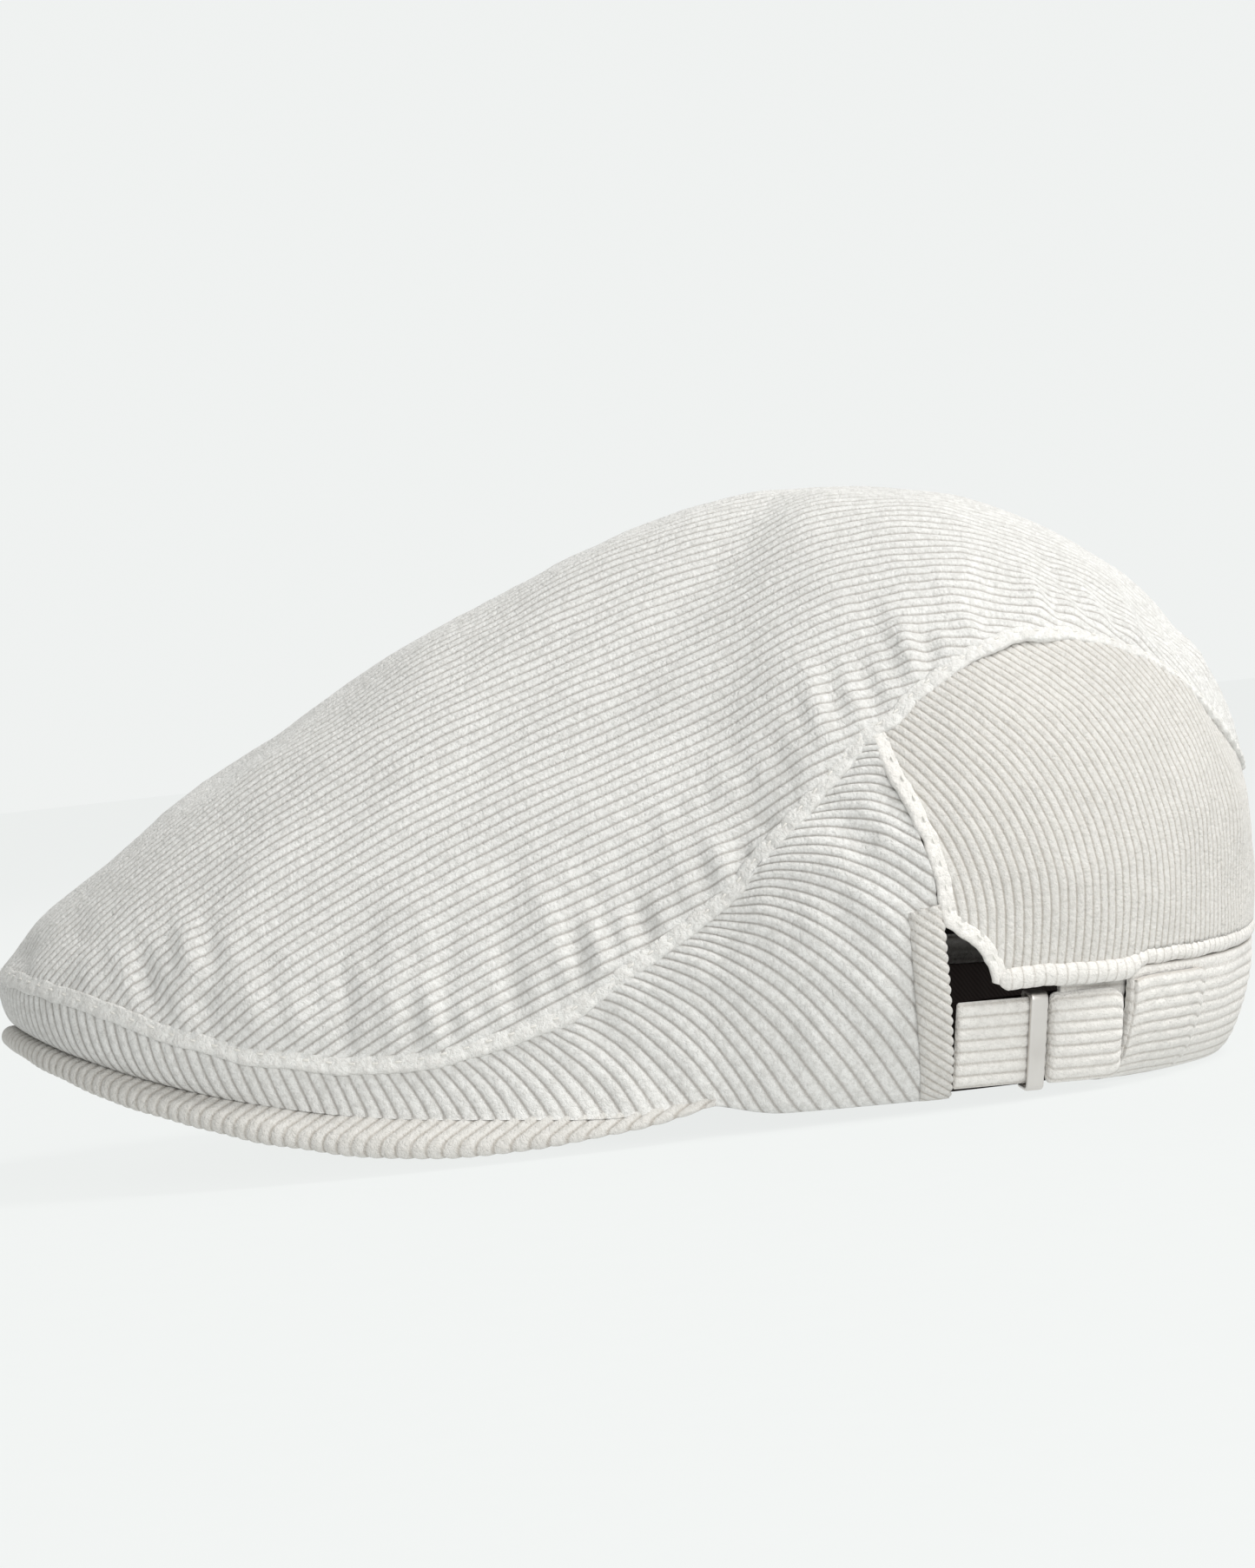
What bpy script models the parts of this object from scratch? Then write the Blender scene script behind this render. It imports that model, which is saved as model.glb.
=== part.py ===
"""Flat newsboy cap, built panel by panel on one crown surface.

The front of the cap points to -Y, the wearer's left is +X, and the cap rests on z = 0.
All driving dimensions are in millimetres; MM turns them into metres when a mesh is made.
Angles are plan angles seen from the crown's highest point: 0 is the front, 90 the wearer's left, 180 the back.
Depth t runs down the crown: 0 at the highest point, 1 at the widest outline, 2 at the lower edge.
"""
import bpy
import numpy as np

MM = 0.001
# carries the outline's middle to the frame's origin
SHIFT = (-0.122, 1.762, 0.0)

# crown
POLE_Y = 45.0
TOP_Z = 137.0
WIDEST_RADIUS = [(0, 189.5), (12, 184), (20, 170), (30, 142.5), (45, 110.5), (60, 93.5), (75, 91),
                 (90, 92), (110, 94.5), (135, 96), (160, 96), (180, 96.5)]
WIDEST_Z = [(0, 44.5), (12, 41), (20, 35), (30, 29.5), (45, 27.5), (60, 31), (90, 39), (135, 51), (180, 57)]
STRAIGHT_SHARE = [(0, 0.86), (22, 0.82), (45, 0.70), (68, 0.52), (90, 0.36), (112, 0.20), (135, 0.09), (158, 0.02), (180, 0.0)]
ROUND_POWER = [(0, 6.0), (22, 5.6), (45, 4.6), (68, 3.5), (90, 2.8), (112, 2.4), (135, 2.15), (180, 2.0)]
TIP_SOFTNESS = 0.35

# head opening and lower edge
RIM_HALF_WIDTH = 83.0
RIM_HALF_LENGTH = 102.0
RIM_CENTRE_Y = 26.0
RIM_RISE = 3.8
RIM_LEVEL_Y = 128.0
LIP_INSET = [(0, 4.0), (10, 4.5), (20, 6.5), (30, 8.0), (40, 7.5), (50, 3.2), (56, 1.2), (64, 0.5), (90, 0), (180, 0)]
LIP_MERGE = (53.5, 70.0)

# brim
BRIM_TIP_Y = -145.0
BRIM_WIDEST_Y = -28.0
BRIM_HALF_WIDTH = 85.0
BRIM_POWER = 2.15
BRIM_REAR_DRAW = 3.0
BRIM_TIP_Z = 35.2
BRIM_SLOPE = 0.025
BRIM_ARCH = 0.00468
BRIM_END_ANGLE = 54.0
BRIM_COVER = 1.0
BRIM_BOARD = 1.6
BRIM_GAP = 0.25
BOARD_MARGIN = 2.5

# cloth
SHELL = 1.8
LINING = 0.8
LINING_DEPTH = 2.9
SEAM_GAP = 0.35
SWEATBAND = 1.0
SWEATBAND_HEIGHT = 20.0
SWEATBAND_INSET = 4.6

# fineness of the dome's grids
DISK_SIDES = 72
DISK_RINGS = 12
SIDE_ROWS = [0, 0.1, 0.212, 0.222, 0.3, 0.42, 0.55, 0.69, 0.85, 1]

# seams, as depth t by angle
TOP_SEAM = [(0, 0.945), (7, 0.948), (11, 0.955), (15, 0.98), (18, 1.008), (21.5, 1.13), (26, 1.23), (31, 1.275),
            (36, 1.215), (40, 1.12), (44.5, 1.028), (50.4, 0.945), (60, 0.88), (66, 0.838), (70, 0.80),
            (77.5, 0.74), (83, 0.698), (88, 0.665), (92, 0.652), (96, 0.63), (100, 0.615), (105, 0.603),
            (110, 0.593), (115, 0.588), (121, 0.598), (127.5, 0.618), (134, 0.65), (138.5, 0.68), (144, 0.725),
            (149, 0.777), (155, 0.85), (163, 0.91), (172, 0.945), (180, 0.955)]
REAR_SEAM = [(0.6, 87.0), (0.665, 88.0), (0.715, 89.0), (0.785, 91.0), (0.83, 92.0), (0.915, 93.2), (1.0, 93.3), (2.0, 93.3)]
WINDOW_EDGE = [(0.6, 87.0), (0.665, 88.0), (0.715, 89.0), (0.785, 91.0), (0.83, 92.0), (0.915, 93.2), (0.955, 94.3),
               (1.01, 95.8), (1.09, 97.8), (1.175, 99.0), (1.25, 99.8), (2.0, 99.8)]
BINDING_LEFT = 89.0
BINDING_TOP = 0.958
HEM_TOP = [(0, 1.17), (99, 1.175), (109, 1.205), (122, 1.255), (135, 1.285), (147, 1.30), (180, 1.30)]
HEM_HEIGHT_T = 0.066
SEAM_T = 0.008
BAND_TOP_T = 0.09
BAND_START = 121.5
REAR_BAND_END = 266.3
BINDING_RIGHT = 93.4

# adjuster
STRAP_START = (88.0, 51.6, 13.4)
STRAP_ALONG = (-0.235, 0.970, -0.045)
STRAP_LEAN = (0.235, 0.075, 0.969)
STRAP_HEIGHT = 19.0
STRAP_THICK = 2.4
STRAP_LENGTH = 21.8
FOLD_START = 22.2
FOLD_LENGTH = 17.0
FOLD_THICK = 4.0
FOLD_HEIGHT = 20.4
ANCHOR_START = 122.2
ANCHOR_END = 138.0
BUCKLE_AT = 18.6
BUCKLE_BAR = 4.0
BUCKLE_PLATE = 1.2
BUCKLE_CLEAR = 0.35
BUCKLE_SIDE = 1.2

MATERIALS = {
    "cloth": (0.76, 0.76, 0.73, 1.0), "lining": (0.018, 0.012, 0.011, 1.0), "board": (0.55, 0.55, 0.55, 1.0),
    "sweat": (0.03, 0.022, 0.02, 1.0), "label": (0.7, 0.7, 0.68, 1.0), "metal": (0.68, 0.66, 0.63, 1.0),
}


# curves and surfaces
def rise(x, low, high):
    """smooth step from 0 at low to 1 at high"""
    t = np.clip((x - low) / (high - low), 0, 1)
    return t * t * (3 - 2 * t)


def curve(x, pairs):
    """smooth curve through (place, value) pairs, flat beyond its ends"""
    place, value = np.array(pairs, float).T
    step = np.diff(place)
    slope = np.diff(value) / step
    tangent = np.zeros_like(value)
    tangent[1:-1] = (slope[:-1] * step[1:] + slope[1:] * step[:-1]) / (step[1:] + step[:-1])
    x = np.clip(x, place[0], place[-1])
    i = np.clip(np.searchsorted(place, x, side="right") - 1, 0, len(place) - 2)
    h = step[i]
    t = (x - place[i]) / h
    return ((2 * t**3 - 3 * t**2 + 1) * value[i] + (t**3 - 2 * t**2 + t) * h * tangent[i]
            + (3 * t**2 - 2 * t**3) * value[i + 1] + (t**3 - t**2) * h * tangent[i + 1])


def fold(deg):
    """angle from the front, the same on both sides: 0 to 180"""
    return np.abs((deg + 180) % 360 - 180)


def around(deg, pairs):
    return curve(fold(deg), pairs)


def heading(deg):
    r = np.radians(deg)
    return np.sin(r), -np.cos(r)


def brim_edge_x(y):
    """half the brim's width: widest over the temples, drawn in to the rim behind them"""
    t = np.clip((y - BRIM_WIDEST_Y) / (BRIM_TIP_Y - BRIM_WIDEST_Y), 0, 1)
    rear = np.clip((y - BRIM_WIDEST_Y) / -BRIM_WIDEST_Y, 0, 1)
    return BRIM_HALF_WIDTH * (1 - t**BRIM_POWER) ** (1 / BRIM_POWER) - BRIM_REAR_DRAW * rear**2


def brim_top(x, y):
    return BRIM_TIP_Z + BRIM_SLOPE * (y - BRIM_TIP_Y) - BRIM_ARCH * x * x


def ellipse_radius(deg, half_width, half_length):
    """distance from the pole axis to an ellipse round the head opening's centre"""
    sx, sy = heading(deg)
    back = POLE_Y - RIM_CENTRE_Y
    a = (sx / half_width) ** 2 + (sy / half_length) ** 2
    b = sy * back / half_length**2
    c = (back / half_length) ** 2 - 1
    return (-b + np.sqrt(b * b - a * c)) / a


def brim_edge_radius(deg):
    """distance from the pole axis to the brim's outer edge"""
    front = BRIM_TIP_Y + (BRIM_WIDEST_Y - BRIM_TIP_Y) * np.linspace(0, 1, 400) ** 2.2
    y = np.concatenate([front, np.linspace(BRIM_WIDEST_Y + 1, 80, 60)])
    x = brim_edge_x(y)
    angle = np.degrees(np.arctan2(x, POLE_Y - y))
    return np.interp(fold(deg), angle, np.hypot(x, POLE_Y - y))


def rim_z(y):
    return RIM_RISE * (1 - y / RIM_LEVEL_Y)


def lower_edge(deg):
    """radius and height of the crown's lower edge: on the brim in front, on the rim plane behind"""
    w = rise(fold(deg), *LIP_MERGE)
    r = (brim_edge_radius(deg) - around(deg, LIP_INSET)) * (1 - w)
    r = r + ellipse_radius(deg, RIM_HALF_WIDTH, RIM_HALF_LENGTH) * w
    sx, sy = heading(deg)
    x, y = r * sx, POLE_Y + r * sy
    return r, ground(deg, x, y)


def crown(deg, t):
    """point on the crown's outer face at plan angle deg and depth t"""
    sx, sy = heading(deg)
    widest, widest_z = around(deg, WIDEST_RADIUS), around(deg, WIDEST_Z)
    lower, lower_z = lower_edge(deg)
    straight, power = around(deg, STRAIGHT_SHARE), around(deg, ROUND_POWER)
    rho = np.sin(np.pi / 2 * np.clip(t, 0, 1))
    cone = (np.hypot(TIP_SOFTNESS, rho) - TIP_SOFTNESS) / (np.hypot(TIP_SOFTNESS, 1) - TIP_SOFTNESS)
    drop = straight * cone + (1 - straight) * (1 - np.sqrt(np.maximum(1 - rho**power, 0)))
    turn = np.clip(t - 1, 0, 1) * np.pi / 2
    r = np.where(t <= 1, widest * rho, lower + (widest - lower) * np.cos(turn))
    z = np.where(t <= 1, TOP_Z - (TOP_Z - widest_z) * drop, widest_z + (lower_z - widest_z) * np.sin(turn))
    return np.stack([r * sx, POLE_Y + r * sy, z], -1)


def crown_normal(deg, t):
    t = np.clip(t, 0.02, 1.97)
    across = crown(deg + 0.4, t) - crown(deg - 0.4, t)
    down = crown(deg, t + 0.012) - crown(deg, t - 0.012)
    n = np.cross(down, across)
    return n / np.linalg.norm(n, axis=-1, keepdims=True)


def ground(deg, x, y):
    """height of what the crown stands on: the brim's top in front, the rim plane behind"""
    w = rise(fold(deg), *LIP_MERGE)
    return (brim_top(x, y) + SEAM_GAP) * (1 - w) + rim_z(y) * w


def layer(deg, t, depth):
    """crown surface moved inward by depth; near the lower edge it moves level and keeps to the ground"""
    face = crown(deg, t)
    near = rise(t, 1.2, 1.8)[..., None]
    sx, sy = heading(deg)
    level = np.stack([sx, sy, np.zeros_like(sx)], -1)
    n = crown_normal(deg, t) * (1 - near) + level * near
    n /= np.linalg.norm(n, axis=-1, keepdims=True)
    p = face - n * depth
    lift = ground(deg, p[..., 0], p[..., 1]) - ground(deg, face[..., 0], face[..., 1])
    p[..., 2] += lift * near[..., 0]
    return p


# meshes
def material(name):
    found = bpy.data.materials.get(name)
    if found:
        return found
    made = bpy.data.materials.new(name)
    made.use_nodes = True
    shader = made.node_tree.nodes["Principled BSDF"]
    shader.inputs["Base Color"].default_value = MATERIALS[name]
    shader.inputs["Roughness"].default_value = 0.35 if name == "metal" else 0.85
    shader.inputs["Metallic"].default_value = 1.0 if name == "metal" else 0.0
    return made


def add(name, points, faces, cloth, origin=None):
    """one closed object; origin is a point of the piece's own frame, or None for the part's origin"""
    points = points + np.array(SHIFT)
    at = np.zeros(3) if origin is None else np.array(origin, float) + np.array(SHIFT)
    mesh = bpy.data.meshes.new(name)
    mesh.from_pydata(((points - at) * MM).tolist(), [], faces)
    mesh.validate()
    mesh.update()
    piece = bpy.data.objects.new(name, mesh)
    piece.location = at * MM
    mesh.materials.append(material(cloth))
    bpy.context.scene.collection.objects.link(piece)
    return piece


def slab(name, outer, inner, cloth, loop=False):
    """closed solid between two matching grids; loop joins the first axis round on itself"""
    n, m = outer.shape[:2]
    index = np.arange(n * m).reshape(n, m)
    if loop:
        index = np.vstack([index, index[:1]])
    a, b = index[:-1, :-1].ravel(), index[1:, :-1].ravel()
    c, d = index[1:, 1:].ravel(), index[:-1, 1:].ravel()
    out = np.stack([a, b, c, d], 1)
    faces = [out, out[:, ::-1] + n * m]
    rims = [index[:, 0][::-1], index[:, -1]]
    if not loop:
        rims += [index[0], index[-1][::-1]]
    for rim in rims:
        faces.append(np.stack([rim[:-1], rim[1:], rim[1:] + n * m, rim[:-1] + n * m], 1))
    faces = np.concatenate(faces)
    points = np.concatenate([outer.reshape(-1, 3), inner.reshape(-1, 3)])
    piece = add(name, points, faces.tolist(), cloth)
    face_out(piece)
    return piece


def disk(name, outer, inner, cloth):
    """closed solid between two ring grids whose first ring is the single point at the pole"""
    n, m = outer.shape[:2]
    ring = np.arange(n * (m - 1)).reshape(n, m - 1) + 1
    ring = np.vstack([ring, ring[:1]])
    count = n * (m - 1) + 1
    quads = np.stack([ring[:-1, :-1], ring[1:, :-1], ring[1:, 1:], ring[:-1, 1:]], -1).reshape(-1, 4)
    fans = np.stack([np.zeros(n, int), ring[1:, 0], ring[:-1, 0]], 1)
    edge = np.stack([ring[:-1, -1], ring[1:, -1], ring[1:, -1] + count, ring[:-1, -1] + count], 1)
    faces = quads.tolist() + (quads[:, ::-1] + count).tolist()
    faces += fans.tolist() + (fans[:, ::-1] + count).tolist() + edge.tolist()
    points = [outer[0, :1], outer[:, 1:].reshape(-1, 3), inner[0, :1], inner[:, 1:].reshape(-1, 3)]
    piece = add(name, np.concatenate(points), faces, cloth)
    face_out(piece)
    return piece


def face_out(piece):
    """turns every face of a closed mesh outward"""
    mesh = piece.data
    mesh.calc_loop_triangles()
    co = np.array([v.co[:] for v in mesh.vertices])
    tri = np.array([t.vertices[:] for t in mesh.loop_triangles])
    a, b, c = co[tri[:, 0]], co[tri[:, 1]], co[tri[:, 2]]
    if np.einsum("ij,ij->i", a, np.cross(b, c)).sum() < 0:
        mesh.flip_normals()


def spread(left, right, top, bottom, count_u, rows):
    """angle and depth grids filling the patch between two side curves of t and two end curves of angle"""
    down = np.linspace(0, 1, rows) if isinstance(rows, int) else np.array(rows)
    u = np.linspace(0, 1, count_u)[:, None] * np.ones(len(down))
    v = down[None, :] * np.ones((count_u, 1))
    t = v * 1.0
    for _ in range(12):
        deg = left(t) * (1 - u) + right(t) * u
        t = top(deg) * (1 - v) + bottom(deg) * v
    return deg, t


def panel(name, grid, cloth, outside=0.0, inside=SHELL):
    deg, t = grid
    return slab(name, layer(deg, t, outside), layer(deg, t, inside), cloth)


def constant(value):
    return lambda x: np.full(np.shape(x), float(value))


# crown panels
def crown_shell():
    deg = np.linspace(0, 360, DISK_SIDES + 1)[:-1, None] * np.ones(DISK_RINGS)
    share = np.linspace(0, 1, DISK_RINGS)[None, :] ** 0.9
    t = share * (around(deg, TOP_SEAM) - SEAM_T)
    disk("top_panel", layer(deg, t, 0.0), layer(deg, t, SHELL), "cloth")
    gap = SEAM_T

    def seam(a):
        return around(a, TOP_SEAM) + gap

    def left_rear(t):
        return np.where(t < BINDING_TOP, curve(t, REAR_SEAM) - 0.2, BINDING_LEFT - 0.3)

    def right_rear(t):
        return 360 - curve(t, REAR_SEAM) + 0.2

    down = constant(2.0)
    front = 0.15
    panel("side_panel_left", spread(constant(front), left_rear, seam, down, 37, SIDE_ROWS), "cloth")
    panel("side_panel_right", spread(right_rear, constant(360 - front), seam, down, 37, 9), "cloth")

    def window_side(t):
        return curve(t, WINDOW_EDGE) + 0.2

    def back_right(t):
        return 360 - curve(t, REAR_SEAM) - 0.2

    def hem(a):
        return around(a, HEM_TOP)

    panel("back_panel", spread(window_side, back_right, seam, lambda a: hem(a) - gap, 33, 9), "cloth")
    end = REAR_BAND_END
    panel("back_hem", spread(constant(100.0), constant(end), hem, lambda a: hem(a) + HEM_HEIGHT_T, 41, 3),
          "cloth", -1.0, SHELL)
    panel("back_band", spread(constant(BAND_START), constant(end), lambda a: hem(a) + BAND_TOP_T, down, 33, 6), "cloth")
    panel("window_binding", spread(constant(BINDING_LEFT), constant(BINDING_RIGHT), constant(BINDING_TOP + 0.027), down, 4, 12),
          "cloth", -0.9, SHELL)


def crown_lining():
    deg = np.linspace(0, 360, DISK_SIDES + 1)[:-1, None] * np.ones(DISK_RINGS)
    share = np.linspace(0, 1, DISK_RINGS)[None, :] ** 0.9
    t = share * (around(deg, TOP_SEAM) - 0.02)
    disk("lining_top", layer(deg, t, LINING_DEPTH), layer(deg, t, LINING_DEPTH + LINING), "lining")

    def seam(a):
        return around(a, TOP_SEAM) + 0.01

    low = constant(1.62)
    left = spread(constant(0.4), lambda t: curve(t, REAR_SEAM) - 0.4, seam, low, 37, 8)
    right = spread(lambda t: 360.4 - curve(t, REAR_SEAM), constant(359.6), seam, low, 37, 8)
    panel("lining_left", left, "lining", LINING_DEPTH, LINING_DEPTH + LINING)
    panel("lining_right", right, "lining", LINING_DEPTH, LINING_DEPTH + LINING)

    def window_side(t):
        return curve(t, WINDOW_EDGE) + 0.9

    grid = spread(window_side, lambda t: 359.4 - curve(t, REAR_SEAM), seam, lambda a: around(a, HEM_TOP) + 0.02, 33, 8)
    panel("lining_back", grid, "lining", LINING_DEPTH, LINING_DEPTH + LINING)


def head_wall(name, cloth, inset, thick, low, high, start=0.0, end=360.0, count=61, loop=True):
    """upright wall following the head opening, inset from the rim ellipse"""
    deg = np.linspace(start, end, count)
    if loop:
        deg = deg[:-1]
    grids = []
    for depth in (inset, inset + thick):
        r = ellipse_radius(deg, RIM_HALF_WIDTH - depth, RIM_HALF_LENGTH - depth)
        sx, sy = heading(deg)
        x, y = r * sx, POLE_Y + r * sy
        w = rise(fold(deg), 52, 74)
        ground = np.maximum(rim_z(y), 0.8) * w + (brim_top(x, y) - 5.2) * (1 - w)
        rows = [np.stack([x, y, ground + z], -1) for z in np.linspace(low, high, 4)]
        grids.append(np.stack(rows, 1))
    return slab(name, grids[0], grids[1], cloth, loop)


def brim():
    """two cloth covers with a stiff board between them, arched down at both sides"""
    deg = np.linspace(-BRIM_END_ANGLE, BRIM_END_ANGLE, 47)[:, None] * np.ones(5)
    share = np.linspace(0, 1, 5)[None, :]
    sx, sy = heading(deg)
    inner = ellipse_radius(deg, RIM_HALF_WIDTH - 3.2, RIM_HALF_LENGTH - 3.2)
    edge = brim_edge_radius(deg)

    def sheet(name, cloth, top, thick, margin, tips):
        keep = np.abs(deg[:, 0]) <= tips
        near = inner + margin
        far = np.maximum(edge - margin, near + 0.6)
        r = near + (far - near) * share
        x, y = (r * sx)[keep], (POLE_Y + r * sy)[keep]
        upper = np.stack([x, y, brim_top(x, y) - top], -1)
        lower = upper - np.array([0, 0, thick])
        slab(name, upper, lower, cloth)

    board_top = BRIM_COVER + BRIM_GAP
    under_top = board_top + BRIM_BOARD + BRIM_GAP
    sheet("brim_top_cover", "cloth", 0.0, BRIM_COVER, 0.0, BRIM_END_ANGLE)
    sheet("brim_board", "board", board_top, BRIM_BOARD, BOARD_MARGIN, 50.0)
    sheet("brim_under_cover", "cloth", under_top, BRIM_COVER, 0.0, BRIM_END_ANGLE)


# adjuster
def unit(v):
    v = np.array(v, float)
    return v / np.linalg.norm(v)


def strap_axes():
    along = unit(STRAP_ALONG)
    out = unit(np.cross(along, unit(STRAP_LEAN)))
    up = np.cross(out, along)
    return along, up, out


def block(name, cloth, start, length, height, thick, shift=0.0, steps=4):
    """flat strap length, its outer face shift mm outside the strap plane"""
    along, up, out = strap_axes()
    s = np.linspace(0, length, steps)[:, None, None] + start
    h = np.linspace(-0.5, 0.5, 3)[None, :, None] * height
    face = np.array(STRAP_START) + s * along + h * up + shift * out
    return slab(name, face, face - out * thick, cloth)


def adjuster():
    block("strap", "cloth", 0.0, STRAP_LENGTH, STRAP_HEIGHT, STRAP_THICK)
    block("strap_fold", "cloth", FOLD_START, FOLD_LENGTH, FOLD_HEIGHT, FOLD_THICK, 0.8)

    def top(a):
        return around(a, HEM_TOP) + BAND_TOP_T + 0.01

    grid = spread(constant(ANCHOR_START), constant(ANCHOR_END), top, constant(1.9), 9, 8)
    panel("strap_anchor", grid, "cloth", -2.2, -0.6)
    buckle()


def buckle():
    """flat metal slide: a front bar and a back bar joined above and below the strap"""
    along, up, out = strap_axes()
    centre = np.array(STRAP_START) + along * BUCKLE_AT - out * STRAP_THICK / 2
    half_gap = STRAP_THICK / 2 + BUCKLE_CLEAR
    half_slot = STRAP_HEIGHT / 2 + BUCKLE_CLEAR
    inner = np.array([(-half_gap, -half_slot), (half_gap, -half_slot), (half_gap, half_slot), (-half_gap, half_slot)])
    outer = inner + np.sign(inner) * np.array([BUCKLE_PLATE, BUCKLE_SIDE])
    rings = []
    for side in (-0.5, 0.5):
        for ring in (outer, inner):
            rings.append(centre + ring[:, :1] * out + ring[:, 1:] * up + along * side * BUCKLE_BAR)
    points = np.concatenate(rings)
    faces = []
    for i in range(4):
        j = (i + 1) % 4
        faces += [(i, j, j + 4, i + 4), (i + 8, i + 12, j + 12, j + 8)]
        faces += [(i, i + 8, j + 8, j), (i + 4, j + 4, j + 12, i + 12)]
    face_out(add("buckle", points, faces, "metal", centre))


def main():
    for old in list(bpy.data.objects):
        bpy.data.objects.remove(old)
    crown_shell()
    crown_lining()
    brim()
    head_wall("sweatband", "sweat", SWEATBAND_INSET, SWEATBAND, 0.8, SWEATBAND_HEIGHT)
    head_wall("size_label", "label", SWEATBAND_INSET + SWEATBAND + 0.3, 0.5, 4.0, 16.0, 172.0, 188.0, 6, False)
    adjuster()


main()
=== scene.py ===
"""A flat newsboy cap in off-white ribbed cloth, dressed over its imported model.

The cap's front points to -Y and the wearer's left is +X. Shapes are worked out in millimetres on one crown
surface, given by a plan angle (0 front, 90 left, 180 back) and a depth t (0 top, 1 widest outline, 2 lower edge).
"""
import bpy
import numpy as np
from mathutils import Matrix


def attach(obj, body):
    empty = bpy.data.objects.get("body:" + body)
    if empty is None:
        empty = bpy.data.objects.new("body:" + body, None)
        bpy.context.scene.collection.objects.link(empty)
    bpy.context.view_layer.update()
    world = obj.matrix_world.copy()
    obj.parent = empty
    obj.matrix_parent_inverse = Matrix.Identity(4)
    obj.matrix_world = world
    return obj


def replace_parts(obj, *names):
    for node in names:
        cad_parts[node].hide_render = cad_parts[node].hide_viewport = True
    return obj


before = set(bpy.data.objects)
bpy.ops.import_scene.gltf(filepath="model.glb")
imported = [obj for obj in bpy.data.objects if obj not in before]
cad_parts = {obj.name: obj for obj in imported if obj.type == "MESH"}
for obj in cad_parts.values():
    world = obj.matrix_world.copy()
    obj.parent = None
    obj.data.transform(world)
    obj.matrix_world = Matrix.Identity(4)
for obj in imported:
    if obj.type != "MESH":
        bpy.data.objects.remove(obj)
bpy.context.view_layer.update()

MM = 0.001
SHIFT = np.array([-0.122, 1.762, 0.0])
RIB = 2.6
RIB_HEIGHT = 0.44
BACK_RIB = 2.15
RIB_SAMPLES = 8

POLE_Y = 45.0
TOP_Z = 137.0
WIDEST_RADIUS = [(0, 189.5), (12, 184), (20, 170), (30, 142.5), (45, 110.5), (60, 93.5), (75, 91),
                 (90, 92), (110, 94.5), (135, 96), (160, 96), (180, 96.5)]
WIDEST_Z = [(0, 44.5), (12, 41), (20, 35), (30, 29.5), (45, 27.5), (60, 31), (90, 39), (135, 51), (180, 57)]
STRAIGHT_SHARE = [(0, 0.86), (22, 0.82), (45, 0.70), (68, 0.52), (90, 0.36), (112, 0.20), (135, 0.09),
                  (158, 0.02), (180, 0.0)]
ROUND_POWER = [(0, 6.0), (22, 5.6), (45, 4.6), (68, 3.5), (90, 2.8), (112, 2.4), (135, 2.15), (180, 2.0)]
TIP_SOFTNESS = 0.35
RIM_HALF_WIDTH, RIM_HALF_LENGTH, RIM_CENTRE_Y = 83.0, 102.0, 26.0
RIM_RISE, RIM_LEVEL_Y = 3.8, 128.0
LIP_INSET = [(0, 4.0), (10, 4.5), (20, 6.5), (30, 8.0), (40, 7.5), (50, 3.2), (56, 1.2), (64, 0.5), (90, 0), (180, 0)]
LIP_MERGE = (53.5, 70.0)
BRIM_TIP_Y, BRIM_WIDEST_Y, BRIM_HALF_WIDTH, BRIM_POWER, BRIM_REAR_DRAW = -145.0, -28.0, 85.0, 2.15, 3.0
BRIM_TIP_Z, BRIM_SLOPE, BRIM_ARCH = 35.2, 0.025, 0.00468
SEAM_GAP = 0.35
TOP_SEAM = [(0, 0.945), (7, 0.948), (11, 0.955), (15, 0.98), (18, 1.008), (21.5, 1.13), (26, 1.23), (31, 1.275),
            (36, 1.215), (40, 1.12), (44.5, 1.028), (50.4, 0.945), (60, 0.88), (66, 0.838), (70, 0.80),
            (77.5, 0.74), (83, 0.698), (88, 0.665), (92, 0.652), (96, 0.63), (100, 0.615), (105, 0.603),
            (110, 0.593), (115, 0.588), (121, 0.598), (127.5, 0.618), (134, 0.65), (138.5, 0.68), (144, 0.725),
            (149, 0.777), (155, 0.85), (163, 0.91), (172, 0.945), (180, 0.955)]
REAR_SEAM = [(0.6, 87.0), (0.665, 88.0), (0.715, 89.0), (0.785, 91.0), (0.83, 92.0), (0.915, 93.2), (1.0, 93.3),
             (2.0, 93.3)]
WINDOW_EDGE = [(0.6, 87.0), (0.665, 88.0), (0.715, 89.0), (0.785, 91.0), (0.83, 92.0), (0.915, 93.2), (0.985, 93.4),
               (1.03, 94.8), (1.09, 97.2), (1.175, 98.9), (1.25, 99.8), (2.0, 99.8)]
HEM_TOP = [(0, 1.17), (99, 1.175), (109, 1.205), (122, 1.255), (135, 1.285), (147, 1.30), (180, 1.30)]
HEM_DEPTH = 0.066
HEM_DROP = 0.036
STRAP_START = np.array([88.0, 51.6, 13.4])
STRAP_ALONG, STRAP_LEAN = (-0.235, 0.970, -0.045), (0.235, 0.075, 0.969)
STRAP_THICK, STRAP_CORD = 2.4, 0.42
BUCKLE_AT, BUCKLE_BAR, BUCKLE_GAP, BUCKLE_WIRE = 18.6, 4.0, 0.35, 1.16
BUCKLE_HALF_SLOT = 9.5
STITCH_STEP, STITCH_OUT, STITCH_LONG, STITCH_THICK = 5.0, 0.42, 1.9, 0.26
LINING_DEPTH = 3.3
ROOM_LIGHT = 0.5


# ---------- curves and the crown surface ----------
def rise(x, low, high):
    """smooth step: 3t^2 - 2t^3 of the share from low to high"""
    t = np.clip((x - low) / (high - low), 0, 1)
    return t * t * (3 - 2 * t)


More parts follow.
